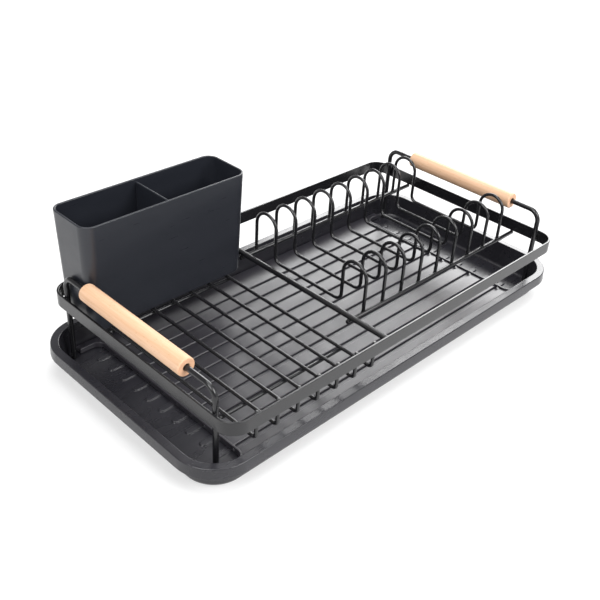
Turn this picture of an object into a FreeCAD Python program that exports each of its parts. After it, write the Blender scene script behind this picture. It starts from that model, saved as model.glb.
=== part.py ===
import FreeCAD, Part
import math
import os

# Countertop dish drying rack: a moulded drip tray with a loose ribbed drain plate, a welded wire
# rack that stands in the tray, two wooden carrying grips and a two-bay cutlery caddy.
#
# Frame: +X along the rack towards the plate wires, +Y towards the back, +Z up. The origin is the
# centre of the footprint, on the table. Every size is in millimetres.

Vec = FreeCAD.Vector

# ---------------------------------------------------------------- overall sizes
band_length = 430.0           # flat steel band round the top of the basket, outside
band_width = 240.0
foot_to_band_top = 66.0       # the rack's standing height, feet to the band's top edge
tray_end_margin = 20.5        # how far the tray's rim reaches past the band at each end
tray_side_margin = -1.0       # at the sides the rim stops just short of the band

# ---------------------------------------------------------------- steel
band_height = 12.5
band_thickness = 2.0
band_corner_radius = 17.0     # outside
frame_wire = 4.8              # diameter of the two handle frames
divider_wire = 5.4
rail_wire = 4.2
floor_wire = 3.2              # cross wires, lengthwise wires and plate wires
weld_gap = 0.05               # the least air left at a weld, so that solids never overlap

cross_wire_count = 7
cross_wire_pitch = 21.5
cross_wire_first = 27.3       # from the band's left outside face to the first cross wire
cross_wire_depth = 26.5       # from the band's top edge down to the wires' centre line
cross_wire_bend = 4.0         # bend radius at the centre line
cross_wire_top = 0.6          # the upright ends stop this far below the band's top edge
lengthwise_wire_front = 79.5  # distances from the middle of the rack
lengthwise_wire_back = 66.5
lengthwise_overrun = 4.0

rail_inset = 50.0             # from the band's outside face to a plate rail
rail_overrun = 3.0            # how far a rail runs past the middle of the divider rod
plate_wire_count = 9
plate_wire_first = 17.7       # from the divider rod to the first plate wire
plate_wire_last = 29.0        # from the last plate wire to the band's right outside face
plate_loop_radius = 13.5      # centre line of the arched loops
plate_loop_height = 33.0      # from the band's top edge up to the arches' outer face
plate_wire_bend = 7.0
plate_floor_depth = 14.0      # from the band's top edge down to the wires' centre line

handle_rise = 20.5            # from the band's top edge up to the carrying bar's centre line
handle_leg_inset = 22.4       # from the band's side face to a leg's centre line
handle_bend = 11.0
foot_round = 0.7              # the legs' lower ends are rounded off

# ---------------------------------------------------------------- wooden grips
grip_diameter = 16.0
grip_play = 1.2               # the bore is this much wider than the carrying bar
grip_past_caddy = 1.9         # how far a grip reaches past the caddy's front, beside its round corner
grip_edge_round = 1.2
grip_mouth = 0.5              # chamfer round each end of the bore

# ---------------------------------------------------------------- drip tray
wall = 2.0                    # moulded wall of the tray
tray_depth = 25.0             # from the rim's top face down to the tray's floor
rim_width = 7.5               # flat ledge round the tray
rim_lip = 10.0                # height of the turned-down outer edge
tray_corner_radius = 37.0     # outside of the rim
tray_draft = 3.0              # how far each inner wall leans in, rim to floor
tray_cove = 3.0               # round between the inner wall and the floor
rim_round = 0.9
lip_draft = 0.8
rib_width = 6.0
rib_height = 1.2
rib_reach = 14.5              # how far a rib shows past the drain plate's end edge
rib_pitch = 18.0
rib_edge_clear = 12.0         # least distance from the outermost rib to the pocket's side

# ---------------------------------------------------------------- drain plate
plate_land = 2.8              # thickness at the lands between the grooves
plate_clearance = 1.2         # air between the plate's edge and the tray's cove
groove_width = 5.0
groove_depth = 1.8
groove_ease = 0.6             # the grooves' upper edges are eased by this much
groove_shift = -4.5           # the grooves lie this far in front of the ribs under them
relief_width = 9.0            # shallow channels under the lands keep the wall even
relief_depth = 1.4
relief_end = 6.0              # solid margin left at the ends of grooves and reliefs
pocket_length = 45.0          # from the tray's inner end wall, at the rim, to the plate's end
ear_width = 8.3               # arm of the plate beside each pocket, from its outer edge
ear_reach = 20.5              # how far an arm runs past the plate's end edge
pocket_corner = 8.0
bead_width = 2.2
bead_height = 1.8             # the bead round each pocket stands this far above the lands
drain_hole_width = 3.6
drain_hole_height = 2.0       # tunnels that let the grooves drain out under the bead

# ---------------------------------------------------------------- cutlery caddy
caddy_width = 53.0            # outside, at the top; the length follows from the room for it
caddy_height = 102.0
caddy_taper = 2.4             # each side leans in by this much, top to bottom
caddy_corner = 11.0
caddy_wall = 2.0
caddy_floor = 2.2
caddy_leg_gap = 0.5           # from the left handle's leg to the caddy, at the bar's height
caddy_rail_gap = 0.4          # from the plate rails' ends to the caddy
caddy_back_gap = 3.9          # from the band's back outside face to the caddy's rim
caddy_rest_gap = 0.3
partition_drop = 2.5          # the partition stops this far below the caddy's rim
partition_wall = 1.8
caddy_slot_length = 20.0
caddy_slot_width = 4.0
caddy_slot_pitch = 10.0
caddy_slots_per_bay = 6

# ---------------------------------------------------------------- derived places
tray_floor = wall
band_top = tray_floor + foot_to_band_top
band_bottom = band_top - band_height
rim_top = tray_floor + tray_depth
half_band_x = band_length / 2
half_band_y = band_width / 2
band_inner_x = half_band_x - band_thickness
band_inner_y = half_band_y - band_thickness

rim_x = half_band_x + tray_end_margin
rim_y = half_band_y + tray_side_margin
mouth_x = rim_x - rim_width
mouth_y = rim_y - rim_width
mouth_radius = tray_corner_radius - rim_width
floor_x = mouth_x - tray_draft
floor_y = mouth_y - tray_draft
floor_radius = mouth_radius - tray_draft

plate_bottom = tray_floor + rib_height
plate_top = plate_bottom + plate_land
cove_inset = tray_cove - math.sqrt(tray_cove ** 2 - (tray_cove - rib_height) ** 2)
plate_edge_x = floor_x - cove_inset - plate_clearance
plate_edge_y = floor_y - cove_inset - plate_clearance
plate_radius = floor_radius - cove_inset - plate_clearance
plate_end_x = mouth_x - pocket_length
pocket_y = plate_edge_y - ear_width
rib_count = int((2 * pocket_y - 2 * rib_edge_clear) // rib_pitch) + 1
rib_places = [(i - (rib_count - 1) / 2) * rib_pitch for i in range(rib_count)]
groove_places = [y + groove_shift for y in rib_places]

cross_wire_z = band_top - cross_wire_depth
lengthwise_wire_z = cross_wire_z - floor_wire - weld_gap
cross_wire_places = [-half_band_x + cross_wire_first + i * cross_wire_pitch
                     for i in range(cross_wire_count)]
rail_y = half_band_y - rail_inset
rail_z = band_bottom - rail_wire / 2 - weld_gap
divider_x = cross_wire_places[-1] + cross_wire_pitch
divider_z = rail_z + rail_wire / 2 + divider_wire / 2 + weld_gap
plate_wire_start = divider_x + plate_wire_first
plate_wire_pitch = (half_band_x - plate_wire_last - plate_wire_start) / (plate_wire_count - 1)
plate_wire_places = [plate_wire_start + i * plate_wire_pitch for i in range(plate_wire_count)]
handle_x = band_inner_x - frame_wire / 2 - weld_gap
handle_y = half_band_y - handle_leg_inset
handle_z = band_top + handle_rise


# The caddy fills the room between the left handle's leg and the ends of the plate rails. It widens
# upwards, so each gap is taken at the height where the two pieces come closest.
caddy_base_z = cross_wire_z + floor_wire / 2 + caddy_rest_gap
caddy_top_z = caddy_base_z + caddy_height
caddy_slope = caddy_taper / caddy_height
caddy_left = -handle_x + frame_wire / 2 + caddy_leg_gap - caddy_slope * (caddy_top_z - handle_z)
caddy_right = divider_x - rail_overrun - caddy_rail_gap + caddy_slope * (caddy_top_z - rail_z)
caddy_length = caddy_right - caddy_left
caddy_x = (caddy_left + caddy_right) / 2
caddy_y = half_band_y - caddy_back_gap - caddy_width / 2

grip_bore = frame_wire + grip_play
grip_length = 2 * (caddy_y - caddy_width / 2 + grip_past_caddy)


# ---------------------------------------------------------------- helpers
def outline(half_x, half_y, radius, z):
    """A closed wire: a rectangle with round corners, centred on the origin, at height z."""
    cx, cy = half_x - radius, half_y - radius
    edges = []
    for turn, (sx, sy) in enumerate(((1, 1), (-1, 1), (-1, -1), (1, -1))):
        start = math.radians(90 * turn)
        corner = Vec(sx * cx, sy * cy, z)
        spots = [corner + Vec(radius * math.cos(start + a), radius * math.sin(start + a), 0)
                 for a in (0, math.pi / 4, math.pi / 2)]
        edges.append(Part.Arc(*spots).toShape())
        ahead = math.radians(90 * turn + 90)
        nx, ny = ((-1, 1), (-1, -1), (1, -1), (1, 1))[turn]
        first = Vec(nx * cx + radius * math.cos(ahead), ny * cy + radius * math.sin(ahead), z)
        edges.append(Part.LineSegment(spots[2], first).toShape())
    return Part.Wire(edges)


def slab(half_x, half_y, radius, z_low, z_high):
    """A straight-sided block with round upright corners."""
    face = Part.Face(outline(half_x, half_y, radius, z_low))
    return face.extrude(Vec(0, 0, z_high - z_low))


def tapered_block(low, high):
    """A block between two outlines, each given as (half_x, half_y, radius, z)."""
    return Part.makeLoft([outline(*low), outline(*high)], True, True)


def box(x0, x1, y0, y1, z0, z1):
    return Part.makeBox(x1 - x0, y1 - y0, z1 - z0, Vec(x0, y0, z0))


def moved(shape, x=0.0, y=0.0, z=0.0):
    copy = shape.copy()
    copy.translate(Vec(x, y, z))
    return copy


def edges_at(shape, z, keep=lambda box_: True):
    """The edges that lie flat at height z and pass the test given."""
    found = []
    for edge in shape.Edges:
        limits = edge.BoundBox
        if abs(limits.ZMin - z) < 1e-4 and abs(limits.ZMax - z) < 1e-4 and keep(limits):
            found.append(edge)
    return found


def bent_rod(corners, bends, diameter):
    """A round rod along a path of straight runs joined by tangent arcs, one bend per corner."""
    points = [Vec(*corner) for corner in corners]
    edges = []
    start = points[0]
    for i, bend in enumerate(bends, start=1):
        before = (points[i - 1] - points[i]).normalize()
        after = (points[i + 1] - points[i]).normalize()
        half_turn = before.getAngle(after) / 2
        reach = bend / math.tan(half_turn)
        arc_start = points[i] + before * reach
        arc_end = points[i] + after * reach
        bisector = (before + after).normalize()
        centre = points[i] + bisector * (bend / math.sin(half_turn))
        middle = centre - bisector * bend
        if (arc_start - start).Length > 1e-6:
            edges.append(Part.LineSegment(start, arc_start).toShape())
        edges.append(Part.Arc(arc_start, middle, arc_end).toShape())
        start = arc_end
    edges.append(Part.LineSegment(start, points[-1]).toShape())
    path = Part.Wire(edges)
    heading = (points[1] - points[0]).normalize()
    profile = Part.Wire(Part.makeCircle(diameter / 2, points[0], heading))
    rod = path.makePipeShell([profile], True, False)
    return rod if rod.Volume > 0 else rod.reversed()


def straight_rod(start, end, diameter):
    run = Vec(*end) - Vec(*start)
    return Part.makeCylinder(diameter / 2, run.Length, Vec(*start), run)


# ---------------------------------------------------------------- drip tray
def outer_tray():
    outer = tapered_block((floor_x + wall, floor_y + wall, floor_radius + wall, 0.0),
                          (mouth_x + wall, mouth_y + wall, mouth_radius + wall, rim_top))
    outer = outer.makeFillet(tray_cove + wall, edges_at(outer, 0.0))
    ledge = slab(rim_x, rim_y, tray_corner_radius, rim_top - wall, rim_top)
    lip_foot = (rim_x + lip_draft, rim_y + lip_draft, tray_corner_radius + lip_draft, rim_top - rim_lip)
    lip_head = (rim_x, rim_y, tray_corner_radius, rim_top)
    inner_foot = tuple(size - wall for size in lip_foot[:3]) + lip_foot[3:]
    inner_head = tuple(size - wall for size in lip_head[:3]) + lip_head[3:]
    lip = tapered_block(lip_foot, lip_head).cut(tapered_block(inner_foot, inner_head))
    shell = outer.fuse([ledge, lip]).removeSplitter()
    cavity = tapered_block((floor_x, floor_y, floor_radius, tray_floor),
                           (mouth_x, mouth_y, mouth_radius, rim_top))
    cavity = cavity.makeFillet(tray_cove, edges_at(cavity, tray_floor))
    cavity = cavity.fuse(slab(mouth_x, mouth_y, mouth_radius, rim_top, rim_top + wall)).removeSplitter()
    tray = shell.cut(cavity)
    tray = tray.makeFillet(rim_round, edges_at(tray, rim_top))
    ribs = [rib(y) for y in rib_places]
    return tray.fuse(ribs).removeSplitter()


def rib(y):
    """One long low rib on the tray's floor, with round ends, that carries the drain plate."""
    reach = plate_end_x + rib_reach
    bar = slab(reach, rib_width / 2, rib_width / 2 - 0.01, tray_floor - rib_height, plate_bottom)
    bar = bar.makeFillet(rib_height / 2, edges_at(bar, plate_bottom))
    return moved(bar, y=y)


# ---------------------------------------------------------------- drain plate
def pocket_block(grow, z_low, z_high):
    """The two open pockets at the plate's ends, made larger all round by grow."""
    radius = pocket_corner + grow
    reach = rim_x
    half = (reach - plate_end_x + grow) / 2 + radius
    block = slab(half, pocket_y + grow, radius, z_low, z_high)
    centre = plate_end_x - grow + half
    return moved(block, x=centre).fuse(moved(block, x=-centre))


def groove(y, reach):
    """The cutter for one groove: straight sides that open out over the eased upper edges."""
    low, eased, high = plate_top - groove_depth, plate_top - groove_ease, plate_top + bead_height
    half, flare = groove_width / 2, high - eased
    section = [(-half, low), (half, low), (half, eased), (half + flare, high),
               (-half - flare, high), (-half, eased), (-half, low)]
    face = Part.Face(Part.makePolygon([Vec(-reach, y + across, up) for across, up in section]))
    return face.extrude(Vec(2 * reach, 0, 0))


def drain_plate():
    blank = slab(plate_edge_x, plate_edge_y, plate_radius, plate_bottom, plate_top + bead_height)
    ear_end = plate_end_x + ear_reach
    blank = blank.common(box(-ear_end, ear_end, -rim_y, rim_y, plate_bottom, plate_top + bead_height))
    above_lands = slab(rim_x, rim_y, tray_corner_radius, plate_top, plate_top + 2 * bead_height)
    bead = blank.common(pocket_block(bead_width, plate_top - bead_height, plate_top + bead_height))
    plate = blank.cut(above_lands).fuse(bead)
    plate = plate.cut(pocket_block(0.0, 0.0, rim_top)).removeSplitter()
    plate = plate.makeFillet(bead_width * 0.35, edges_at(plate, plate_top + bead_height))
    cutters = []
    groove_end = plate_end_x - bead_width
    for y in groove_places:
        cutters.append(groove(y, groove_end))
        cutters.append(box(-rim_x, rim_x, y - drain_hole_width / 2, y + drain_hole_width / 2,
                           plate_top - groove_depth, plate_top - groove_depth + drain_hole_height))
    relief_x = plate_end_x - relief_end
    for y in groove_places[:-1]:
        middle = y + rib_pitch / 2
        cutters.append(box(-relief_x, relief_x, middle - relief_width / 2, middle + relief_width / 2,
                           plate_bottom, plate_bottom + relief_depth))
    return plate.cut(cutters).removeSplitter()


# ---------------------------------------------------------------- wire rack
def rack_band():
    outer = slab(half_band_x, half_band_y, band_corner_radius, band_bottom, band_top)
    inner = slab(band_inner_x, band_inner_y, band_corner_radius - band_thickness, band_bottom, band_top)
    band = outer.cut(inner)
    edges = edges_at(band, band_top) + edges_at(band, band_bottom)
    return band.makeFillet(band_thickness * 0.2, edges)


def cross_wire(x):
    """A floor wire across the basket, turned up at both ends against the band."""
    y = band_inner_y - floor_wire / 2 - weld_gap
    top = band_top - cross_wire_top
    corners = [(x, -y, top), (x, -y, cross_wire_z), (x, y, cross_wire_z), (x, y, top)]
    return bent_rod(corners, [cross_wire_bend] * 2, floor_wire)


def lengthwise_wire(y):
    start = cross_wire_places[0] - lengthwise_overrun
    end = cross_wire_places[-1] + lengthwise_overrun
    return straight_rod((start, y, lengthwise_wire_z), (end, y, lengthwise_wire_z), floor_wire)


def divider_rod():
    reach = band_inner_y - weld_gap
    return straight_rod((divider_x, -reach, divider_z), (divider_x, reach, divider_z), divider_wire)


def plate_rail(y):
    return straight_rod((divider_x - rail_overrun, y, rail_z), (half_band_x - 0.5, y, rail_z), rail_wire)


def plate_wire(x):
    """One plate support: rail, arch, floor, arch, rail, bent from a single wire."""
    outer_y = rail_y
    inner_y = rail_y - 2 * plate_loop_radius
    foot = rail_z + rail_wire / 2 + weld_gap
    crown = band_top + plate_loop_height - floor_wire / 2
    low = band_top - plate_floor_depth
    corners = [(x, outer_y, foot), (x, outer_y, crown), (x, inner_y, crown), (x, inner_y, low),
               (x, -inner_y, low), (x, -inner_y, crown), (x, -outer_y, crown), (x, -outer_y, foot)]
    arch, turn = plate_loop_radius, plate_wire_bend
    return bent_rod(corners, [arch, arch, turn, turn, arch, arch], floor_wire)


def handle_frame(x):
    """Two legs and the carrying bar between them, bent from one rod."""
    foot = tray_floor + weld_gap
    corners = [(x, -handle_y, foot), (x, -handle_y, handle_z), (x, handle_y, handle_z), (x, handle_y, foot)]
    frame = bent_rod(corners, [handle_bend] * 2, frame_wire)
    return frame.makeFillet(foot_round, edges_at(frame, foot))


def grip(x):
    """A turned wooden grip with a bore wide enough to slip over the carrying bar."""
    start = Vec(x, -grip_length / 2, handle_z)
    along = Vec(0, 1, 0)
    body = Part.makeCylinder(grip_diameter / 2, grip_length, start, along)
    body = body.makeFillet(grip_edge_round, [e for e in body.Edges if e.Closed])
    bore = Part.makeCylinder(grip_bore / 2, grip_length, start, along)
    body = body.cut(bore)
    wide = grip_bore / 2 + grip_mouth
    for end, heading in ((-grip_length / 2, along), (grip_length / 2, along * -1)):
        mouth = Part.makeCone(wide, grip_bore / 2, grip_mouth, Vec(x, end, handle_z), heading)
        body = body.cut(mouth)
    return body


# ---------------------------------------------------------------- cutlery caddy
def caddy_block(inset, z_low, z_high):
    """The caddy's tapered outside, shrunk by inset, between two heights above its base."""
    sections = []
    for z in (z_low, z_high):
        lean = caddy_taper * (caddy_height - z) / caddy_height
        sections.append((caddy_length / 2 - lean - inset, caddy_width / 2 - lean - inset,
                         caddy_corner - inset, z))
    return tapered_block(*sections)


def cutlery_caddy():
    outside = caddy_block(0.0, 0.0, caddy_height)
    outside = outside.makeFillet(2.0, edges_at(outside, 0.0))
    inside = caddy_block(caddy_wall, caddy_floor, caddy_height)
    inside = inside.makeFillet(1.5, edges_at(inside, caddy_floor))
    shell = outside.cut(inside)
    shell = shell.makeFillet(caddy_wall * 0.35, edges_at(shell, caddy_height))
    partition = box(-partition_wall / 2, partition_wall / 2, -caddy_width / 2, caddy_width / 2,
                    caddy_floor / 2, caddy_height - partition_drop)
    caddy = shell.fuse(partition.common(outside)).removeSplitter()
    bay = (caddy_length / 2 - caddy_taper - caddy_wall) / 2
    slots = []
    for side in (-1, 1):
        for i in range(caddy_slots_per_bay):
            x = side * bay + (i - (caddy_slots_per_bay - 1) / 2) * caddy_slot_pitch
            slot = slab(caddy_slot_width / 2, caddy_slot_length / 2, caddy_slot_width / 2 - 0.01,
                        -caddy_floor, 2 * caddy_floor)
            slots.append(moved(slot, x=x))
    caddy = caddy.cut(slots)
    return moved(caddy, caddy_x, caddy_y, caddy_base_z)


# ---------------------------------------------------------------- the assembly
def assembly():
    nodes = {"outer_tray": outer_tray(), "drain_plate": drain_plate(), "rack_band": rack_band()}
    for number, x in enumerate(cross_wire_places, start=1):
        nodes["cross_wire_%d" % number] = cross_wire(x)
    nodes["lengthwise_wire_front"] = lengthwise_wire(-lengthwise_wire_front)
    nodes["lengthwise_wire_back"] = lengthwise_wire(lengthwise_wire_back)
    nodes["divider_rod"] = divider_rod()
    nodes["plate_rail_front"] = plate_rail(-rail_y)
    nodes["plate_rail_back"] = plate_rail(rail_y)
    for number, x in enumerate(plate_wire_places, start=1):
        nodes["plate_wire_%d" % number] = plate_wire(x)
    for side, x in (("left", -handle_x), ("right", handle_x)):
        nodes["handle_frame_" + side] = handle_frame(x)
        nodes["grip_" + side] = grip(x)
    nodes["cutlery_caddy"] = cutlery_caddy()
    return nodes


os.makedirs("parts", exist_ok=True)
for name, shape in assembly().items():
    shape.exportStep("parts/" + name + ".step")
    print("%-24s %s solids %d volume %.0f" % (name, "ok" if shape.isValid() else "INVALID",
                                              len(shape.Solids), shape.Volume))
print("ribs", rib_count, "plate wire pitch %.2f" % plate_wire_pitch, "handle x %.2f" % handle_x)
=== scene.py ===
import math
import random

import bmesh
import bpy
from mathutils import Matrix, Vector


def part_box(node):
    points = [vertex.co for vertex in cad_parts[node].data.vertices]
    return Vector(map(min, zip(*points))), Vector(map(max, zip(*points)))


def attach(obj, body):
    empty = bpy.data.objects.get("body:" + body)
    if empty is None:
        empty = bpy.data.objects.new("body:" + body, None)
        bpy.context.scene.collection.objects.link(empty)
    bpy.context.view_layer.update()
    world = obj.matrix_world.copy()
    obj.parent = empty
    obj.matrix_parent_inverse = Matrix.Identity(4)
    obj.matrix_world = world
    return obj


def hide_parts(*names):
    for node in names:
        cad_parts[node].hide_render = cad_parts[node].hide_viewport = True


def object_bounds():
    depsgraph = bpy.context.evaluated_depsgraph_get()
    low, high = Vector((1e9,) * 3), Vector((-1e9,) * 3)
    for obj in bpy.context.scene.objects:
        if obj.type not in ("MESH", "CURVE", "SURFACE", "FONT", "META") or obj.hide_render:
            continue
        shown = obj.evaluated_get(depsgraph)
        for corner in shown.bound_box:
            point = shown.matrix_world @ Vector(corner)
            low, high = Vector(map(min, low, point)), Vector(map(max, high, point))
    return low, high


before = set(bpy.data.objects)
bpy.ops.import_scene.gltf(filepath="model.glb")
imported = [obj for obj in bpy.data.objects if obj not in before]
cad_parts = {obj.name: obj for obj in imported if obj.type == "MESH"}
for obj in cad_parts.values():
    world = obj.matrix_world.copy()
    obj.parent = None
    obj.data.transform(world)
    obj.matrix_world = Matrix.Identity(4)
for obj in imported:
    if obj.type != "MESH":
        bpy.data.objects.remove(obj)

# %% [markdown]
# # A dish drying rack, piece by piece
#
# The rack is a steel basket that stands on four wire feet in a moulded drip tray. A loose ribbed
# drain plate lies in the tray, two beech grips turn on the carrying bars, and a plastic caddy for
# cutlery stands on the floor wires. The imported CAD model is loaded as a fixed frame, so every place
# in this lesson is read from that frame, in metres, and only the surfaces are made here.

MM = 0.001
low_at_start, high_at_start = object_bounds()
size = high_at_start - low_at_start
print("frame: %.0f x %.0f x %.0f mm" % tuple(s / MM for s in size))

# %% [markdown]
# ## Finishes
#
# Five finishes cover the whole object: powder coat on the steel, satin plastic on the tray, a finer
# satin on the drain plate, a duller plastic on the caddy, and bare beech. Each is a node material,
# because grain, orange peel and wear have to keep their real size wherever the surface turns. The
# nodes read object coordinates, which are metres here, so a noise scale of 1000 makes millimetre
# detail.

# %% A helper for node materials
class Finish:
    """A node material with its shader, and short calls that add and join nodes."""

    def __init__(self, name):
        self.material = bpy.data.materials.new(name)
        self.material.use_nodes = True
        self.tree = self.material.node_tree
        self.tree.nodes.clear()
        output = self.tree.nodes.new("ShaderNodeOutputMaterial")
        self.shader = self.tree.nodes.new("ShaderNodeBsdfPrincipled")
        self.tree.links.new(self.shader.outputs["BSDF"], output.inputs["Surface"])
        self.place = self.tree.nodes.new("ShaderNodeTexCoord").outputs["Object"]

    def join(self, source, target):
        self.tree.links.new(source, target)

    def stretched(self, x, y, z):
        """Object coordinates scaled by x, y and z."""
        node = self.tree.nodes.new("ShaderNodeMapping")
        node.inputs["Scale"].default_value = (x, y, z)
        self.join(self.place, node.inputs["Vector"])
        return node.outputs["Vector"]

    def noise(self, scale, detail=3.0, rough=0.55, where=None, distortion=0.0):
        node = self.tree.nodes.new("ShaderNodeTexNoise")
        node.inputs["Scale"].default_value = scale
        node.inputs["Detail"].default_value = detail
        node.inputs["Roughness"].default_value = rough
        node.inputs["Distortion"].default_value = distortion
        self.join(where or self.place, node.inputs["Vector"])
        return node.outputs["Fac"]

    def cells(self, scale, where=None):
        node = self.tree.nodes.new("ShaderNodeTexVoronoi")
        node.inputs["Scale"].default_value = scale
        self.join(where or self.place, node.inputs["Vector"])
        return node.outputs["Distance"]

    def remap(self, value, from_low, from_high, to_low, to_high):
        node = self.tree.nodes.new("ShaderNodeMapRange")
        for socket, number in zip(("From Min", "From Max", "To Min", "To Max"),
                                  (from_low, from_high, to_low, to_high)):
            node.inputs[socket].default_value = number
        self.join(value, node.inputs["Value"])
        return node.outputs["Result"]

    def maths(self, kind, a, b):
        node = self.tree.nodes.new("ShaderNodeMath")
        node.operation = kind
        for socket, value in zip(node.inputs, (a, b)):
            if isinstance(value, (int, float)):
                socket.default_value = value
            else:
                self.join(value, socket)
        return node.outputs["Value"]

    def blend(self, share, a, b):
        """A colour between a and b; either may be a colour or another node's output."""
        node = self.tree.nodes.new("ShaderNodeMix")
        node.data_type = "RGBA"
        self.join(share, node.inputs["Factor"])
        for socket, value in zip((node.inputs[6], node.inputs[7]), (a, b)):
            if isinstance(value, tuple):
                socket.default_value = (*value, 1.0)
            else:
                self.join(value, socket)
        return node.outputs[2]

    def facing(self, axis):
        """How far the surface faces along object axis 0, 1 or 2, either way, from 0 to 1."""
        coordinates = self.tree.nodes.new("ShaderNodeTexCoord")
        split = self.tree.nodes.new("ShaderNodeSeparateXYZ")
        self.join(coordinates.outputs["Normal"], split.inputs["Vector"])
        return self.maths("ABSOLUTE", split.outputs[axis], 0.0)

    def edges(self, low, high):
        """Near 1 on outward edges and near 0 elsewhere."""
        geometry = self.tree.nodes.new("ShaderNodeNewGeometry")
        return self.remap(geometry.outputs["Pointiness"], low, high, 0.0, 1.0)

    def bump(self, *layers):
        """Stacks (height output, distance in metres, strength) layers on the normal."""
        last = None
        for height, distance, strength in layers:
            node = self.tree.nodes.new("ShaderNodeBump")
            node.inputs["Distance"].default_value = distance
            node.inputs["Strength"].default_value = strength
            self.join(height, node.inputs["Height"])
            if last:
                self.join(last, node.inputs["Normal"])
            last = node.outputs["Normal"]
        self.join(last, self.shader.inputs["Normal"])

    def set(self, **sockets):
        for name, value in sockets.items():
            self.shader.inputs[name.replace("_", " ")].default_value = value


print("finish helper ready")

# %% [markdown]
# ### Powder coat
#
# The steel is blasted, sprayed with black polyester powder and baked. The powder melts into a skin
# with a faint orange peel about a millimetre across and a few pinheads of grit. Outward edges are
# painted lighter: mostly a painted highlight, and a little of it is the skin running thin there. A
# clear coat layer would give too sharp a mirror, so one rough dielectric with two scales of bump is used.

# %% Powder-coated steel
def powder_coat():
    finish = Finish("powder_coat_black")
    peel = finish.noise(950, detail=2.0)
    grit = finish.cells(1400)
    clouds = finish.noise(38, detail=4.0)
    dust = finish.remap(finish.noise(5200, detail=1.0), 0.66, 0.74, 0.0, 1.0)
    colour = finish.blend(clouds, (0.0060, 0.0060, 0.0072), (0.0095, 0.0094, 0.0108))
    colour = finish.blend(finish.maths("MULTIPLY", dust, 0.20), colour, (0.040, 0.039, 0.040))
    # painted highlight on outward edges, with a little lightening for the thin skin there
    thin_skin_and_edge_highlight = finish.maths("MULTIPLY", finish.edges(0.56, 0.72), 0.4)
    colour = finish.blend(thin_skin_and_edge_highlight, colour, (0.045, 0.044, 0.046))
    finish.join(colour, finish.shader.inputs["Base Color"])
    finish.join(finish.remap(clouds, 0.3, 0.7, 0.19, 0.26), finish.shader.inputs["Roughness"])
    finish.bump((peel, 0.00005, 0.28), (grit, 0.00002, 0.20))
    finish.set(Metallic=0.0, IOR=1.52)
    return finish.material


coat = powder_coat()
print(coat.name)

# %% [markdown]
# ### Moulded black plastic
#
# The tray, the plate and the caddy are injection moulded. Mould steel is spark-eroded or blasted,
# and the plastic copies its fine matt grain. Long soft streaks follow the flow, and handling leaves
# hairline scratches. Outward edges get a painted highlight in the colour. One function makes the
# three plastics with their own colour, grain size and roughness, as a moulder would order them from
# one grain card.

# %% Three plastics from one recipe
def moulded_plastic(name, dark, light, grain, roughness, relief, scratches):
    finish = Finish(name)
    fine = finish.noise(grain, detail=3.0, rough=0.6)
    pits = finish.cells(grain * 0.8)
    flow = finish.noise(1.0, detail=4.0, where=finish.stretched(14, 46, 60), distortion=0.6)
    hair = finish.noise(1.0, detail=2.0, where=finish.stretched(40, 2600, 900))
    hair = finish.remap(hair, 0.69, 0.75, 0.0, 1.0)
    speck = finish.remap(finish.noise(3900, detail=1.0), 0.70, 0.76, 0.0, 1.0)
    # painted highlight: a lighter colour on outward edges, mixed in below
    rim = finish.edges(0.53, 0.66)
    colour = finish.blend(flow, dark, light)
    lighter = tuple(2.2 * c + 0.012 for c in light)
    colour = finish.blend(finish.maths("MULTIPLY", hair, scratches), colour, lighter)
    colour = finish.blend(finish.maths("MULTIPLY", speck, 0.30), colour, lighter)
    colour = finish.blend(finish.maths("MULTIPLY", rim, 0.35), colour, lighter)
    finish.join(colour, finish.shader.inputs["Base Color"])
    rough = finish.remap(flow, 0.3, 0.7, roughness - 0.04, roughness + 0.05)
    rough = finish.maths("ADD", rough, finish.maths("MULTIPLY", hair, -0.08))
    finish.join(rough, finish.shader.inputs["Roughness"])
    finish.bump((fine, 0.00005, relief), (pits, 0.00003, 0.5 * relief), (flow, 0.0004, 0.10))
    finish.set(Metallic=0.0, IOR=1.50)
    return finish.material


tray_plastic = moulded_plastic("tray_satin_plastic", (0.0135, 0.0132, 0.0165), (0.0205, 0.0200, 0.0250),
                               grain=2300, roughness=0.27, relief=0.35, scratches=0.25)
plate_plastic = moulded_plastic("plate_satin_plastic", (0.0170, 0.0160, 0.0205), (0.0250, 0.0235, 0.0295),
                                grain=2700, roughness=0.32, relief=0.30, scratches=0.35)
caddy_plastic = moulded_plastic("caddy_matt_plastic", (0.0125, 0.0140, 0.0190), (0.0175, 0.0195, 0.0260),
                                grain=1900, roughness=0.34, relief=0.55, scratches=0.10)
print(tray_plastic.name, plate_plastic.name, caddy_plastic.name)

# %% [markdown]
# ### Beech
#
# The grips are turned from steamed beech and only sanded. Beech is pale pink-brown with a very even
# grain, and its mark is the rays: short dark flecks, a millimetre or two long, all lying along the
# grain. On the ends the grain is cut across, so it drinks more light and shows no flecks. The grain
# runs along Y, so the grain textures are stretched along Y, and a mask from the surface normal mixes
# in the end grain.

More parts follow.
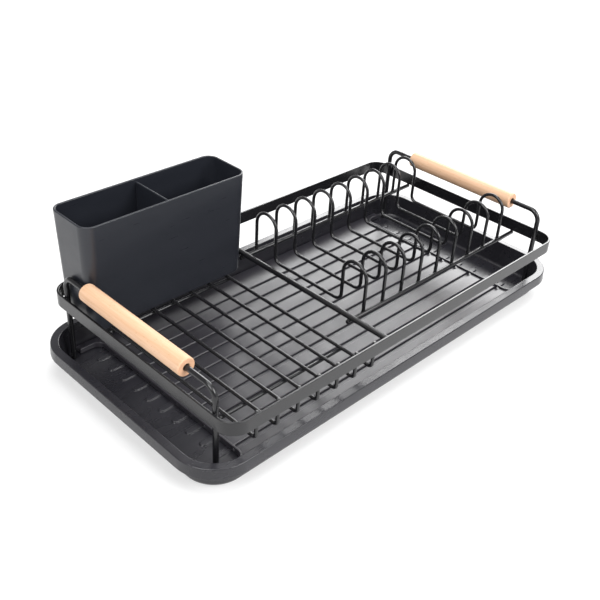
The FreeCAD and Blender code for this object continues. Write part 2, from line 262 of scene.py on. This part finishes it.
# %% Sanded beech
def beech():
    finish = Finish("sanded_beech")
    along = finish.stretched(330, 11, 330)
    figure = finish.noise(1.0, detail=5.0, rough=0.68, where=along, distortion=0.5)
    bands = finish.noise(1.0, detail=3.0, where=finish.stretched(95, 3.2, 95), distortion=1.1)
    rays = finish.cells(1.0, where=finish.stretched(760, 240, 760))
    fleck = finish.remap(rays, 0.10, 0.26, 1.0, 0.0)
    patch = finish.remap(finish.noise(1.0, where=finish.stretched(210, 120, 210)), 0.45, 0.60, 0.0, 1.0)
    fleck = finish.maths("MULTIPLY", fleck, patch)
    pores = finish.noise(1.0, detail=2.0, where=finish.stretched(2600, 190, 2600))
    pores = finish.remap(pores, 0.60, 0.72, 0.0, 1.0)
    colour = finish.blend(bands, (0.620, 0.385, 0.235), (0.740, 0.505, 0.345))
    colour = finish.blend(finish.maths("MULTIPLY", finish.remap(figure, 0.40, 0.62, 0.0, 1.0), 0.55),
                          colour, (0.560, 0.320, 0.175))
    colour = finish.blend(finish.maths("MULTIPLY", fleck, 0.62), colour, (0.430, 0.220, 0.105))
    colour = finish.blend(finish.maths("MULTIPLY", pores, 0.30), colour, (0.520, 0.300, 0.160))
    end = finish.remap(finish.facing(1), 0.55, 0.90, 0.0, 1.0)
    tissue = finish.noise(1700, detail=3.0)
    cut = finish.blend(tissue, (0.560, 0.300, 0.175), (0.760, 0.470, 0.300))
    colour = finish.blend(end, colour, cut)
    finish.join(colour, finish.shader.inputs["Base Color"])
    finish.join(finish.remap(figure, 0.3, 0.7, 0.46, 0.60), finish.shader.inputs["Roughness"])
    finish.bump((figure, 0.00012, 0.35), (pores, 0.00005, 0.4), (tissue, 0.00003, 0.25))
    finish.set(Metallic=0.0, IOR=1.46)
    return finish.material


wood = beech()
print(wood.name)

# %% [markdown]
# ## Shared ways of making a surface
#
# Nearly everything here is either a stack of rounded rectangles (tray, band, caddy) or a round wire
# along a path. So two mesh builders do most of the work. A stack joins rings that all have the same
# number of points, which keeps the faces four-sided and the corners even. A wire is swept with its
# own frame carried along the path, so it never twists at a bend. A piece keeps its origin at the
# frame's origin, which lets the finishes above run on across neighbouring parts.

# %% From mesh data to a piece that rides on its body
def new_piece(name, bm, material, body, stands_for=(), weighted=True):
    """Makes the object, shades it smooth, hangs it on its body, and hides the CAD nodes it stands for."""
    bmesh.ops.recalc_face_normals(bm, faces=bm.faces)
    mesh = bpy.data.meshes.new(name)
    bm.to_mesh(mesh)
    bm.free()
    mesh.materials.append(material)
    for polygon in mesh.polygons:
        polygon.use_smooth = True
    piece = bpy.data.objects.new(name, mesh)
    bpy.context.scene.collection.objects.link(piece)
    if weighted:
        flats = piece.modifiers.new("even_flats", "WEIGHTED_NORMAL")
        flats.weight = 80
        flats.keep_sharp = True
    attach(piece, body)
    if stands_for:
        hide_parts(*stands_for)
    print("%-22s %6d faces on %s" % (name, len(mesh.polygons), body))
    return piece


# %% Rounded rectangles and stacks of them
CORNER_STEPS = 14


def rounded_ring(half_x, half_y, radius, z, centre=(0.0, 0.0)):
    """Points of a rectangle with round corners, counter-clockwise from the first corner's start."""
    points = []
    for turn, (sx, sy) in enumerate(((1, 1), (-1, 1), (-1, -1), (1, -1))):
        for step in range(CORNER_STEPS + 1):
            angle = math.radians(90 * turn) + math.pi / 2 * step / CORNER_STEPS
            x = sx * (half_x - radius) + radius * math.cos(angle)
            y = sy * (half_y - radius) + radius * math.sin(angle)
            points.append((centre[0] + x, centre[1] + y, z))
    return points


def quarter(centre, radius, start, end, steps=6):
    """Points (out, up) on an arc about centre, from start to end in degrees."""
    for step in range(steps + 1):
        angle = math.radians(start + (end - start) * step / steps)
        yield (centre[0] + radius * math.cos(angle), centre[1] + radius * math.sin(angle))


def stack(bm, rings, closed=False, caps=(False, False)):
    """Joins rings of equal length into a skin, with a flat face on the first or last if asked."""
    loops = [[bm.verts.new(point) for point in ring] for ring in rings]
    pairs = list(zip(loops, loops[1:])) + ([(loops[-1], loops[0])] if closed else [])
    for below, above in pairs:
        count = len(below)
        for i in range(count):
            j = (i + 1) % count
            bm.faces.new((below[i], below[j], above[j], above[i]))
    if caps[0]:
        bm.faces.new(list(reversed(loops[0])))
    if caps[1]:
        bm.faces.new(loops[-1])


print("ring of", 4 * (CORNER_STEPS + 1), "points")


# %% Wires swept along a path
WIRE_SIDES = 20
END_ROUND = 0.35    # share of the radius that is rounded off at a cut end
END_STEPS = 3


def bent_path(corners, bends, steps=9):
    """Straight runs joined by true arcs: the path's points and nothing else."""
    corners = [Vector(c) for c in corners]
    path = [corners[0]]
    for i, bend in enumerate(bends, start=1):
        before = (corners[i - 1] - corners[i]).normalized()
        after = (corners[i + 1] - corners[i]).normalized()
        half = before.angle(after) / 2
        bisector = (before + after).normalized()
        centre = corners[i] + bisector * (bend / math.sin(half))
        start = corners[i] + before * (bend / math.tan(half)) - centre
        end = corners[i] + after * (bend / math.tan(half)) - centre
        turn = start.angle(end)
        for step in range(steps + 1):
            share = step / steps
            point = (start * math.sin((1 - share) * turn) + end * math.sin(share * turn)) / math.sin(turn)
            if (centre + point - path[-1]).length > 1e-6:
                path.append(centre + point)
    path.append(corners[-1])
    return path


def wire(bm, path, diameter):
    """A round wire with deburred ends."""
    radius = diameter / 2
    soft = radius * END_ROUND
    first, last = (path[1] - path[0]).normalized(), (path[-1] - path[-2]).normalized()
    turns = [math.pi / 2 * k / END_STEPS for k in range(END_STEPS + 1)]
    spots = [(path[0] + first * soft * (1 - math.cos(turn)), radius - soft + soft * math.sin(turn))
             for turn in turns]
    spots += [(p, radius) for p in path[1:-1]]
    spots += [(path[-1] - last * soft * (1 - math.sin(turn)), radius - soft + soft * math.cos(turn))
              for turn in turns]
    heading = first
    side = heading.orthogonal().normalized()
    rings = []
    for i, (spot, reach) in enumerate(spots):
        ahead = spots[min(i + 1, len(spots) - 1)][0] - spots[max(i - 1, 0)][0]
        ahead.normalize()
        side = (heading.rotation_difference(ahead) @ side).normalized()
        side = (side - ahead * side.dot(ahead)).normalized()
        heading = ahead
        across = heading.cross(side)
        rings.append([spot + (side * math.cos(a) + across * math.sin(a)) * reach
                      for a in (2 * math.pi * k / WIRE_SIDES for k in range(WIRE_SIDES))])
    stack(bm, rings, caps=(True, True))


print("wire of", WIRE_SIDES, "sides")

# %% [markdown]
# ## Drip tray
#
# The tray is one shallow moulding with a flat ledge round its mouth and a lip turned down outside
# it, which stiffens the edge and gives the fingers a hold. It could be a subdivided cage, but the
# rounds on it are exact radii, so the section is drawn once as points (in from the rim's outside,
# and up) and carried round the rounded rectangle.

# %% The tray's shell
tray_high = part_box("outer_tray")[1]
rim_z = tray_high.z
LIP_FLARE, LIP_HEIGHT, WALL = 0.8 * MM, 10 * MM, 2 * MM
RIM_WIDTH, RIM_CORNER, RIM_ROUND = 7.5 * MM, 37 * MM, 0.9 * MM
DRAFT, COVE, LIP_END = 3 * MM, 3 * MM, 0.5 * MM
rim_half_x = tray_high.x - LIP_FLARE
rim_half_y = tray_high.y - LIP_FLARE


def tray_section():
    """(in from the rim's outside, up) from under the floor, round the lip and down to the floor."""
    foot = RIM_WIDTH + DRAFT
    slope = DRAFT / rim_z
    belly = COVE + WALL
    points = [(foot + COVE, 0.0)]
    points += list(quarter((foot + COVE, belly), belly, 270, 186))
    points += [(RIM_WIDTH - WALL + 2 * slope * MM, rim_z - WALL), (WALL + 0.4 * MM, rim_z - WALL)]
    points += [(WALL - 0.2 * MM, rim_z - WALL - 0.6 * MM), (WALL - LIP_FLARE, rim_z - LIP_HEIGHT + LIP_END)]
    points += list(quarter((WALL / 2 - LIP_FLARE, rim_z - LIP_HEIGHT + LIP_END), LIP_END, 360, 270, 3))
    points += list(quarter((LIP_END - LIP_FLARE, rim_z - LIP_HEIGHT + LIP_END), LIP_END, 270, 180, 3))
    points += list(quarter((RIM_ROUND, rim_z - RIM_ROUND), RIM_ROUND, 184, 90))
    points += list(quarter((RIM_WIDTH - RIM_ROUND, rim_z - RIM_ROUND), RIM_ROUND, 90, 6))
    points += list(quarter((foot + COVE, WALL + COVE), COVE, 186, 270, 10))
    return points


bm = bmesh.new()
shell = [rounded_ring(rim_half_x - inward, rim_half_y - inward, RIM_CORNER - inward, up)
         for inward, up in tray_section()]
stack(bm, shell, caps=(True, True))
print("tray section of", len(shell), "points")

# %% [markdown]
# Ten low ribs stand on the tray's floor and carry the drain plate, and only their rounded ends show
# past it. Each is a little stack of its own: a foot that spreads into the floor, a short side and a
# rounded top.

# %% The ribs on the tray's floor
plate_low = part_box("drain_plate")[0]
RIB_COUNT, RIB_PITCH, RIB_HALF_WIDTH = 10, 18 * MM, 3 * MM
POCKET, RIB_SHOWS = 45 * MM, 14.5 * MM
NEARLY_ROUND = 0.999    # of a half width, so that a round end keeps a sliver of straight side
# each rib's section: (mm outward, share of the rise)
RIB_SECTION = [(0.9, -0.3), (0.55, 0.02), (0.25, 0.12), (0.05, 0.32), (0.0, 0.55),
               (-0.1, 0.75), (-0.35, 0.92), (-0.7, 0.99), (-1.1, 1.0)]
plate_end_x = rim_half_x - RIM_WIDTH - POCKET
rib_reach = plate_end_x + RIB_SHOWS
rib_rise = plate_low.z - WALL
rib_places = [(i - (RIB_COUNT - 1) / 2) * RIB_PITCH for i in range(RIB_COUNT)]
for y in rib_places:
    rings = []
    for outward, share in RIB_SECTION:
        half = RIB_HALF_WIDTH + outward * MM
        up = WALL + share * rib_rise
        rings.append(rounded_ring(rib_reach + outward * MM, half, half * NEARLY_ROUND, up, (0, y)))
    stack(bm, rings, caps=(True, True))
new_piece("drip_tray", bm, tray_plastic, "tray", ["outer_tray"])

# %% [markdown]
# ## Drain plate
#
# The loose plate lies on those ribs. Its grooves run the length of the rack and drain out through
# little tunnels under a bead round each end pocket. Its shape in the CAD model is already the real
# one, so the CAD node stays and only gets its finish.

# %% The plate's finish
def dress(node_name, material):
    """Puts a finish on every material slot of a CAD node that stays in view."""
    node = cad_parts[node_name]
    for material_slot in node.material_slots:
        material_slot.material = material
    print(node_name, "wears", material.name)


dress("drain_plate", plate_plastic)

# %% [markdown]
# ## Steel band
#
# The basket's frame is a flat strip, 12.5 mm high, bent on edge into a rounded rectangle and butt
# welded. Its top edge catches the light, so the strip's four long edges are rounded here.

# %% The band
band_low, band_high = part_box("rack_band")
STRIP, BAND_CORNER, EDGE = 2 * MM, 17 * MM, 0.45 * MM
section = list(quarter((EDGE, band_high.z - EDGE), EDGE, 180, 90, 4))
section += list(quarter((STRIP - EDGE, band_high.z - EDGE), EDGE, 90, 0, 4))
section += list(quarter((STRIP - EDGE, band_low.z + EDGE), EDGE, 0, -90, 4))
section += list(quarter((EDGE, band_low.z + EDGE), EDGE, -90, -180, 4))
bm = bmesh.new()
rings = [rounded_ring(band_high.x - inward, band_high.y - inward, BAND_CORNER - inward, up)
         for inward, up in section]
stack(bm, rings, closed=True)
new_piece("steel_band", bm, coat, "rack", ["rack_band"])

# %% [markdown]
# ## Wires
#
# Every wire is cut to length, bent on a former and resistance welded. A bend is a true arc, and the
# cut ends are deburred. The floor wires turn up at both ends against the inside of the band.

# %% Floor wires across the basket
def middle(node_name):
    low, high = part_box(node_name)
    return (low + high) / 2


FLOOR_BEND = 4 * MM
floor_wires = ["cross_wire_%d" % (i + 1) for i in range(7)]
for name in floor_wires:
    low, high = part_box(name)
    thick = high.x - low.x
    x, y, z = (low.x + high.x) / 2, high.y - thick / 2, low.z + thick / 2
    bm = bmesh.new()
    wire(bm, bent_path([(x, -y, high.z), (x, -y, z), (x, y, z), (x, y, high.z)], [FLOOR_BEND] * 2), thick)
    new_piece(name.replace("cross", "floor"), bm, coat, "rack", [name], weighted=False)

# %% [markdown]
# Five rods have no bend. A cylinder would do, but the same builder gives them the deburred ends that
# the bent wires have.

# %% Straight rods
def straight(node_name, piece_name, axis):
    """A straight rod along axis 0 or 1, in its node's place."""
    low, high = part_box(node_name)
    centre = (low + high) / 2
    start, end = centre.copy(), centre.copy()
    start[axis], end[axis] = low[axis], high[axis]
    bm = bmesh.new()
    wire(bm, [start, centre, end], high.z - low.z)
    new_piece(piece_name, bm, coat, "rack", [node_name], weighted=False)


straight("lengthwise_wire_front", "under_wire_front", 0)
straight("lengthwise_wire_back", "under_wire_back", 0)
straight("plate_rail_front", "plate_rail_front_rod", 0)
straight("plate_rail_back", "plate_rail_back_rod", 0)
straight("divider_rod", "divider_bar", 1)

# %% [markdown]
# The plate supports are the rack's signature: one wire goes up from a rail, over in a half circle,
# down, across the basket and back through a second arch. Plates stand between neighbours.

# %% Arched plate supports
ARCH, ARCH_FOOT_BEND = 13.5 * MM, 7 * MM
rail_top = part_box("plate_rail_front")[1].z
plate_supports = ["plate_wire_%d" % (i + 1) for i in range(9)]
for name in plate_supports:
    low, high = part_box(name)
    thick = high.x - low.x
    x, outer, crown, floor_z = (low.x + high.x) / 2, high.y - thick / 2, high.z - thick / 2, low.z + thick / 2
    inner = outer - 2 * ARCH
    corners = [(x, outer, rail_top), (x, outer, crown), (x, inner, crown), (x, inner, floor_z)]
    corners += [(x, -y, z) for x, y, z in reversed(corners)]
    bm = bmesh.new()
    wire(bm, bent_path(corners, [ARCH, ARCH, ARCH_FOOT_BEND, ARCH_FOOT_BEND, ARCH, ARCH]), thick)
    new_piece(name.replace("wire", "support"), bm, coat, "rack", [name], weighted=False)

# %% [markdown]
# Each handle frame is one rod from foot to foot: up a leg, across as the carrying bar, and down the
# other leg. A bevelled curve could make it too, but the swept mesh keeps true arcs at the two bends
# and needs no conversion.

# %% Handle frames, from one foot to the other
HANDLE_BEND, HANDLE_BEND_STEPS = 11 * MM, 14
for side in ("left", "right"):
    low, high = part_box("handle_frame_" + side)
    thick = high.x - low.x
    x, y, z = (low.x + high.x) / 2, high.y - thick / 2, high.z - thick / 2
    bm = bmesh.new()
    corners = [(x, -y, low.z), (x, -y, z), (x, y, z), (x, y, low.z)]
    wire(bm, bent_path(corners, [HANDLE_BEND] * 2, HANDLE_BEND_STEPS), thick)
    new_piece("handle_bar_" + side, bm, coat, "rack", ["handle_frame_" + side],
              weighted=False)

# %% [markdown]
# ## Welds
#
# Wherever two wires cross, current and pressure melt them together and leave a small swollen bead
# under the paint. They are what tells a welded basket from a printed one. Each bead is a small
# rounded lump, a little uneven, set where the pieces touch.

# %% Weld beads
WIRE_TO_BAND = (1.55 * MM, 0.75 * MM, 1.7 * MM)
WIRE_TO_WIRE = (1.25 * MM, 1.25 * MM, 0.75 * MM)
ARCH_TO_RAIL = (1.9 * MM, 1.9 * MM, 0.85 * MM)
DIVIDER_TO_RAIL = (2.2 * MM, 2.1 * MM, 1.1 * MM)
DIVIDER_TO_BAND = (2.5 * MM, 1.2 * MM, 2.5 * MM)
RAIL_TO_BAND = (1.0 * MM, 1.9 * MM, 0.8 * MM)
LEG_TO_BAND = (0.9 * MM, 1.2 * MM, 2.2 * MM)
random.seed(7)


def weld(bm, spot, reach):
    """A slightly uneven lump at spot; reach is its half size along x, y and z."""
    made = bmesh.ops.create_icosphere(bm, subdivisions=3, radius=1.0)["verts"]
    phase = [random.uniform(0, 6.28) for _ in range(3)]
    for vert in made:
        way = vert.co.copy()
        swell = 1 + 0.07 * math.sin(3 * way.x + phase[0]) * math.cos(4 * way.y + phase[1])
        swell += 0.05 * math.sin(5 * way.z + phase[2])
        vert.co = Vector(spot) + Vector(way[i] * reach[i] * swell for i in range(3))


bm = bmesh.new()
band_inner_y = band_high.y - STRIP
for name in floor_wires:
    x = middle(name).x
    for side in (-1, 1):
        for height in (band_low.z + 2.6 * MM, band_high.z - 3.2 * MM):
            weld(bm, (x, side * (band_inner_y - 0.5 * MM), height), WIRE_TO_BAND)
        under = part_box("lengthwise_wire_front" if side < 0 else "lengthwise_wire_back")
        weld(bm, (x, (under[0].y + under[1].y) / 2, under[1].z), WIRE_TO_WIRE)
new_piece("floor_welds", bm, coat, "rack", weighted=False)

bm = bmesh.new()
rail = {side: middle("plate_rail_front" if side < 0 else "plate_rail_back") for side in (-1, 1)}
divider = middle("divider_rod")
divider_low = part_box("divider_rod")[0]
for side in (-1, 1):
    for name in plate_supports:
        weld(bm, (middle(name).x, rail[side].y, rail_top + 0.15 * MM), ARCH_TO_RAIL)
    weld(bm, (divider.x, rail[side].y, divider_low.z), DIVIDER_TO_RAIL)
    weld(bm, (divider.x, side * (band_inner_y - 0.8 * MM), divider.z), DIVIDER_TO_BAND)
    weld(bm, (band_high.x - STRIP / 2, rail[side].y, rail_top + 0.2 * MM), RAIL_TO_BAND)
new_piece("rail_welds", bm, coat, "rack", weighted=False)

bm = bmesh.new()
for side in ("left", "right"):
    low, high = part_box("handle_frame_" + side)
    leg_y = high.y - (high.x - low.x) / 2
    inward = -1 if side == "right" else 1
    face = inward * -(band_high.x - STRIP)
    for y in (-leg_y, leg_y):
        for height in (band_low.z + 2.6 * MM, band_high.z - 2.6 * MM):
            for edge in (-1, 1):
                spot = (face + inward * 0.7 * MM, y + edge * 1.5 * MM, height)
                weld(bm, spot, LEG_TO_BAND)
new_piece("handle_welds", bm, coat, "rack", weighted=False)

# %% [markdown]
# ## Grips
#
# Each grip is a length of beech dowel, drilled through and slipped over the carrying bar before the
# bar was bent. Its ends are eased with sandpaper. The section is drawn once, with both eased edges,
# and turned about the bar's axis.

# %% Two turned grips
GRIP_SIDES, GRIP_EASE, BORE_EASE = 64, 1.2 * MM, 0.5 * MM
BORE_RADIUS = 3.0 * MM


def turned(section, centre):
    """Rings about the Y axis through centre, one for each (radius, along) point."""
    rings = []
    for radius, along in section:
        angles = (2 * math.pi * k / GRIP_SIDES for k in range(GRIP_SIDES))
        rings.append([(centre.x + radius * math.cos(a), along, centre.z + radius * math.sin(a))
                      for a in angles])
    return rings


for side in ("left", "right"):
    low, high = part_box("grip_" + side)
    centre = (low + high) / 2
    outer = (high.z - low.z) / 2
    half = (high.y - low.y) / 2
    section = [(BORE_RADIUS, -half + BORE_EASE), (BORE_RADIUS + 0.4 * BORE_EASE, -half + 0.15 * BORE_EASE)]
    section += [(BORE_RADIUS + BORE_EASE, -half)]
    section += list(quarter((outer - GRIP_EASE, -half + GRIP_EASE), GRIP_EASE, -90, 0, 7))
    section += [(outer, 0.0)]
    section += list(quarter((outer - GRIP_EASE, half - GRIP_EASE), GRIP_EASE, 0, 90, 7))
    section += [(BORE_RADIUS + BORE_EASE, half), (BORE_RADIUS + 0.4 * BORE_EASE, half - 0.15 * BORE_EASE)]
    section += [(BORE_RADIUS, half - BORE_EASE)]
    bm = bmesh.new()
    stack(bm, turned(section, centre), closed=True)
    new_piece("beech_grip_" + side, bm, wood, "grip_" + side, ["grip_" + side])

# %% [markdown]
# ## Cutlery caddy
#
# The caddy is a tall tapered box with a wall down the middle. Its sides lean so that it leaves the
# mould. The wall between the bays stops just below the rim. Its slots let the water out.

# %% The caddy's shell
caddy_low, caddy_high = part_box("cutlery_caddy")
caddy_centre = ((caddy_low.x + caddy_high.x) / 2, (caddy_low.y + caddy_high.y) / 2)
caddy_half_x = (caddy_high.x - caddy_low.x) / 2
caddy_half_y = (caddy_high.y - caddy_low.y) / 2
caddy_tall = caddy_high.z - caddy_low.z
LEAN, CADDY_WALL, CADDY_FLOOR = 2.4 * MM, 2.0 * MM, 2.2 * MM
CADDY_CORNER = 11 * MM


def caddy_ring(inset, up):
    """The caddy's outline, up above its base, moved in by inset and by the lean at that height."""
    inward = inset + LEAN * (1 - up / caddy_tall)
    return rounded_ring(caddy_half_x - inward, caddy_half_y - inward, CADDY_CORNER - inset,
                        caddy_low.z + up, caddy_centre)


soft_foot, soft_rim, soft_well = 2.0 * MM, 0.7 * MM, 1.5 * MM
section = list(quarter((soft_foot, soft_foot), soft_foot, 270, 180))
section += [(0.0, caddy_tall * share) for share in (0.25, 0.5, 0.75)]
section += list(quarter((soft_rim, caddy_tall - soft_rim), soft_rim, 180, 90, 5))
section += list(quarter((CADDY_WALL - soft_rim, caddy_tall - soft_rim), soft_rim, 90, 0, 5))
section += [(CADDY_WALL, caddy_tall * share) for share in (0.75, 0.5, 0.25)]
section += list(quarter((CADDY_WALL + soft_well, CADDY_FLOOR + soft_well), soft_well, 180, 270))
bm = bmesh.new()
stack(bm, [caddy_ring(inset, up) for inset, up in section], caps=(True, True))
caddy = new_piece("caddy_shell", bm, caddy_plastic, "caddy", ["cutlery_caddy"])

# %% [markdown]
# The drain slots are cut with a boolean, because a slot has to go through a floor that already has
# its round edges. All the slots are one cutter, which is removed once the cut is applied.

# %% Drain slots in the caddy's floor
SLOTS, SLOT_PITCH, SLOT_HALF_LENGTH, SLOT_HALF_WIDTH = 6, 10 * MM, 10 * MM, 2 * MM
bay = (caddy_half_x - LEAN - CADDY_WALL) / 2
bm = bmesh.new()
for side in (-1, 1):
    for i in range(SLOTS):
        x = caddy_centre[0] + side * bay + (i - (SLOTS - 1) / 2) * SLOT_PITCH
        rings = [rounded_ring(SLOT_HALF_WIDTH, SLOT_HALF_LENGTH, SLOT_HALF_WIDTH * NEARLY_ROUND, z,
                              (x, caddy_centre[1]))
                 for z in (caddy_low.z - 2 * MM, caddy_low.z + 2 * CADDY_FLOOR)]
        stack(bm, rings, caps=(True, True))
bmesh.ops.recalc_face_normals(bm, faces=bm.faces)
cutter_mesh = bpy.data.meshes.new("slot_cutter")
bm.to_mesh(cutter_mesh)
bm.free()
cutter = bpy.data.objects.new("slot_cutter", cutter_mesh)
bpy.context.scene.collection.objects.link(cutter)
cut = caddy.modifiers.new("slots", "BOOLEAN")
cut.operation, cut.solver, cut.object = "DIFFERENCE", "EXACT", cutter
bpy.context.view_layer.update()
evaluated = caddy.evaluated_get(bpy.context.evaluated_depsgraph_get())
cut_mesh = bpy.data.meshes.new_from_object(evaluated)
caddy.modifiers.clear()
caddy.data = cut_mesh
bpy.data.objects.remove(cutter)
evens = caddy.modifiers.new("even_flats", "WEIGHTED_NORMAL")
evens.keep_sharp = True
print("caddy with slots:", len(cut_mesh.polygons), "faces")

# %% [markdown]
# A thin wall splits the caddy into two bays. It is a small stack of its own, sunk a little into the
# long walls and the floor so that no gap shows, and it narrows over its last rings to a soft edge.

# %% The wall between the bays
PARTITION_HALF, PARTITION_DROP = 0.9 * MM, 2.5 * MM
SUNK_AT = 0.6    # share of the caddy's wall and floor that the partition leaves uncut
bm = bmesh.new()
rings = []
for share, thin in ((0.0, 0.0), (0.5, 0.0), (0.985, 0.0), (0.995, 0.12), (0.999, 0.35), (1.0, 0.75)):
    foot = CADDY_FLOOR * SUNK_AT
    up = foot + share * (caddy_tall - PARTITION_DROP - foot)
    reach = caddy_half_y - CADDY_WALL * SUNK_AT - LEAN * (1 - up / caddy_tall)
    half = PARTITION_HALF * (1 - thin)
    rings.append(rounded_ring(half, reach, half * 0.6, caddy_low.z + up, caddy_centre))
stack(bm, rings, caps=(True, True))
new_piece("caddy_partition", bm, caddy_plastic, "caddy")

# %% [markdown]
# ## Floor, light and camera
#
# The floor is a matt mid-grey that also glows. Lights strong enough to bring it to white by
# themselves would wash out the black rack, so the glow makes up the difference, and it keeps the
# shadows on the floor pale. Far away, where the lights don't reach, the floor falls off to a light
# grey.

# %% A plain floor that comes out white
FLOOR_REACH, FLOOR_GAP, FLOOR_GLOW = 9.0, 0.4 * MM, 0.46
bm = bmesh.new()
bmesh.ops.create_grid(bm, x_segments=8, y_segments=8, size=FLOOR_REACH)
floor_mesh = bpy.data.meshes.new("studio_floor")
bm.to_mesh(floor_mesh)
bm.free()
floor = bpy.data.objects.new("studio_floor", floor_mesh)
bpy.context.scene.collection.objects.link(floor)
floor.location.z = -FLOOR_GAP
paper = Finish("pale_floor")
tone = paper.blend(paper.noise(1.3, detail=2.0), (0.42, 0.42, 0.42), (0.45, 0.45, 0.45))
paper.join(tone, paper.shader.inputs["Base Color"])
paper.set(Roughness=0.9, Emission_Color=(1.0, 1.0, 1.0, 1.0), Emission_Strength=FLOOR_GLOW)
floor_mesh.materials.append(paper.material)
print("floor: %.0f m wide, glow %.2f" % (2 * FLOOR_REACH, FLOOR_GLOW))

# %% [markdown]
# The rack is nearly black, so its shape is told by what it reflects. One large soft light stands to
# the right and behind, low enough to skim the plate and the top edges. A second stands in front for
# the band and the caddy, a weak one hangs overhead, and a small one fills the left side. Area lights
# are used because a sun or a point light would give hard, thin highlights on the wires.

# %% Soft studio light
def softbox(name, spot, aim, width, height, watts):
    lamp = bpy.data.lights.new(name, "AREA")
    lamp.shape = "RECTANGLE"
    lamp.size, lamp.size_y = width, height
    lamp.energy = watts
    holder = bpy.data.objects.new(name, lamp)
    holder.location = spot
    holder.rotation_euler = (Vector(aim) - Vector(spot)).to_track_quat("-Z", "Y").to_euler()
    bpy.context.scene.collection.objects.link(holder)
    print("%-15s %3.0f W" % (name, watts))


softbox("skim_light", (1.75, 0.95, 1.15), (0.0, 0.0, 0.05), 1.5, 1.1, 52)
softbox("overhead_light", (0.0, 0.05, 1.9), (0.0, 0.0, 0.0), 1.3, 1.3, 18)
softbox("front_light", (0.5, -1.7, 1.4), (0.0, 0.0, 0.05), 1.5, 1.1, 46)
softbox("side_fill", (-1.5, -0.4, 1.5), (0.0, 0.0, 0.05), 1.0, 0.9, 26)
world = bpy.data.worlds.new("pale_surroundings")
world.use_nodes = True
world.node_tree.nodes["Background"].inputs["Color"].default_value = (1.0, 1.0, 1.0, 1.0)
world.node_tree.nodes["Background"].inputs["Strength"].default_value = 0.40
bpy.context.scene.world = world
bpy.context.scene.view_settings.view_transform = "Standard"

# %% [markdown]
# The camera looks down on the rack from beyond its front left corner. It is rolled by a few degrees,
# which pointing it at a target doesn't give, so its matrix is built from three directions.

# %% The camera, aimed near the middle of the tray
LENS, SENSOR, ROLL = 50.9, 36.0, math.radians(-3.633)
camera_spot = Vector((-0.5067, -0.4541, 0.4735))
camera_aim = Vector((0.0115, 0.0365, 0.0))
ahead = (camera_aim - camera_spot).normalized()
level_right = ahead.cross(Vector((0, 0, 1))).normalized()
level_up = level_right.cross(ahead)
up = level_up * math.cos(ROLL) + level_right * math.sin(ROLL)
right = ahead.cross(up)
camera = bpy.data.objects.new("camera", bpy.data.cameras.new("camera"))
camera.data.lens, camera.data.sensor_width = LENS, SENSOR
camera.matrix_world = Matrix.Translation(camera_spot) @ Matrix((right, up, -ahead)).transposed().to_4x4()
bpy.context.scene.collection.objects.link(camera)
bpy.context.scene.camera = camera
print("camera %.0f mm from its aim" % ((camera_aim - camera_spot).length / MM))
